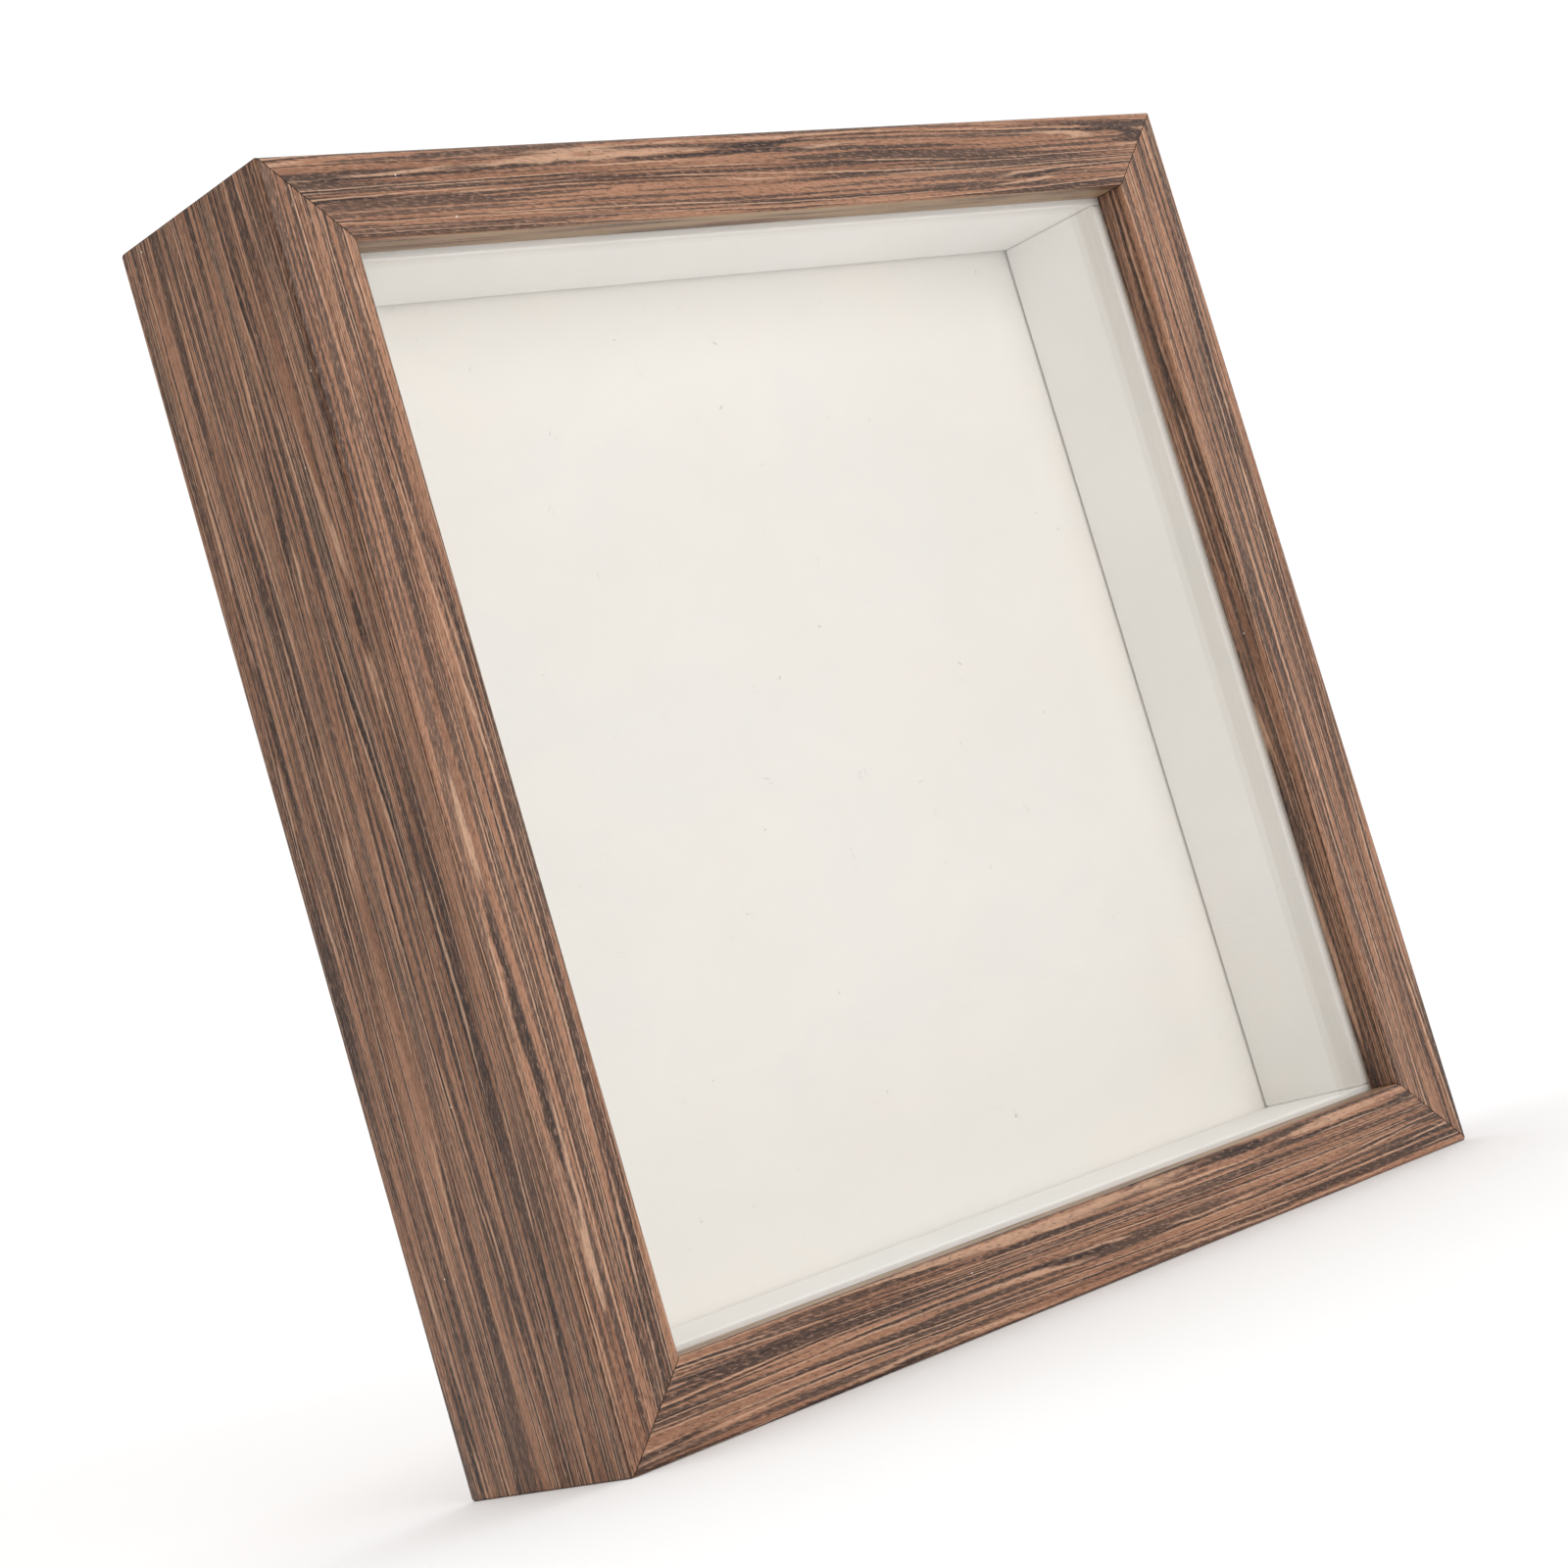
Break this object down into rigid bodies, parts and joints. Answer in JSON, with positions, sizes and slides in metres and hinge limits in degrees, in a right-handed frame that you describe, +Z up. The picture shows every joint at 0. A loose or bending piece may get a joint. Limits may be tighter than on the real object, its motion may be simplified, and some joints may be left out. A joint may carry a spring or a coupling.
{
  "type": "square shadow box display case",
  "caption": "Square free-standing or wall-hung shadow box with a wood-look mitred frame, clear front glazing, white inner walls, a cream display board and a lift-out back.",
  "frame": {"origin": "centre of the underside of the case, the face it stands on", "axes": "+Z up; the glazed front faces -Y; +X is to the right for someone looking at the front"},
  "size_m": [0.23, 0.0521, 0.23],
  "materials": {
    "rail_foil": "satin",
    "glazing": "polished",
    "spacer_card": "matte",
    "display_face": "matte",
    "back_fibreboard": "matte",
    "button_steel": "satin",
    "screw_steel": "satin",
    "hanger_steel": "satin",
    "nail_steel": "satin",
    "bumper_rubber": "matte"
  },
  "bodies": {
    "case": {"frame_rail_bottom": "rail_foil", "frame_rail_left": "rail_foil", "frame_rail_top": "rail_foil", "frame_rail_right": "rail_foil", "corner_v_nails": "nail_steel", "glazing_sheet": "glazing", "spacer_bottom": "spacer_card", "spacer_left": "spacer_card", "spacer_top": "spacer_card", "spacer_right": "spacer_card", "turn_button_screws": "screw_steel", "sawtooth_hanger": "hanger_steel", "hanger_nails": "nail_steel", "bumper_pads": "bumper_rubber"},
    "back": {"display_board": "display_face", "back_board": "back_fibreboard"},
    "button_bottom_a": {"turn_button_bottom_a": "button_steel"},
    "button_bottom_b": {"turn_button_bottom_b": "button_steel"},
    "button_left_a": {"turn_button_left_a": "button_steel"},
    "button_left_b": {"turn_button_left_b": "button_steel"},
    "button_top_a": {"turn_button_top_a": "button_steel"},
    "button_top_b": {"turn_button_top_b": "button_steel"},
    "button_right_a": {"turn_button_right_a": "button_steel"},
    "button_right_b": {"turn_button_right_b": "button_steel"}
  },
  "joints": [
    {"name": "back_slide", "type": "slide", "parent": "case", "child": "back", "axis": [0, 1, 0], "range_m": [0, 0.06]},
    {"name": "button_bottom_a_turn", "type": "hinge", "parent": "case", "child": "button_bottom_a", "pos_m": [0.06, 0.02465, 0.006], "axis": [0, -1, 0], "range_deg": [0, 90]},
    {"name": "button_bottom_b_turn", "type": "hinge", "parent": "case", "child": "button_bottom_b", "pos_m": [-0.06, 0.02465, 0.006], "axis": [0, 1, 0], "range_deg": [0, 90]},
    {"name": "button_left_a_turn", "type": "hinge", "parent": "case", "child": "button_left_a", "pos_m": [-0.109, 0.02465, 0.055], "axis": [0, -1, 0], "range_deg": [0, 90]},
    {"name": "button_left_b_turn", "type": "hinge", "parent": "case", "child": "button_left_b", "pos_m": [-0.109, 0.02465, 0.175], "axis": [0, 1, 0], "range_deg": [0, 90]},
    {"name": "button_top_a_turn", "type": "hinge", "parent": "case", "child": "button_top_a", "pos_m": [-0.06, 0.02465, 0.224], "axis": [0, -1, 0], "range_deg": [0, 90]},
    {"name": "button_top_b_turn", "type": "hinge", "parent": "case", "child": "button_top_b", "pos_m": [0.06, 0.02465, 0.224], "axis": [0, 1, 0], "range_deg": [0, 90]},
    {"name": "button_right_a_turn", "type": "hinge", "parent": "case", "child": "button_right_a", "pos_m": [0.109, 0.02465, 0.175], "axis": [0, -1, 0], "range_deg": [0, 90]},
    {"name": "button_right_b_turn", "type": "hinge", "parent": "case", "child": "button_right_b", "pos_m": [0.109, 0.02465, 0.055], "axis": [0, 1, 0], "range_deg": [0, 90]}
  ]
}
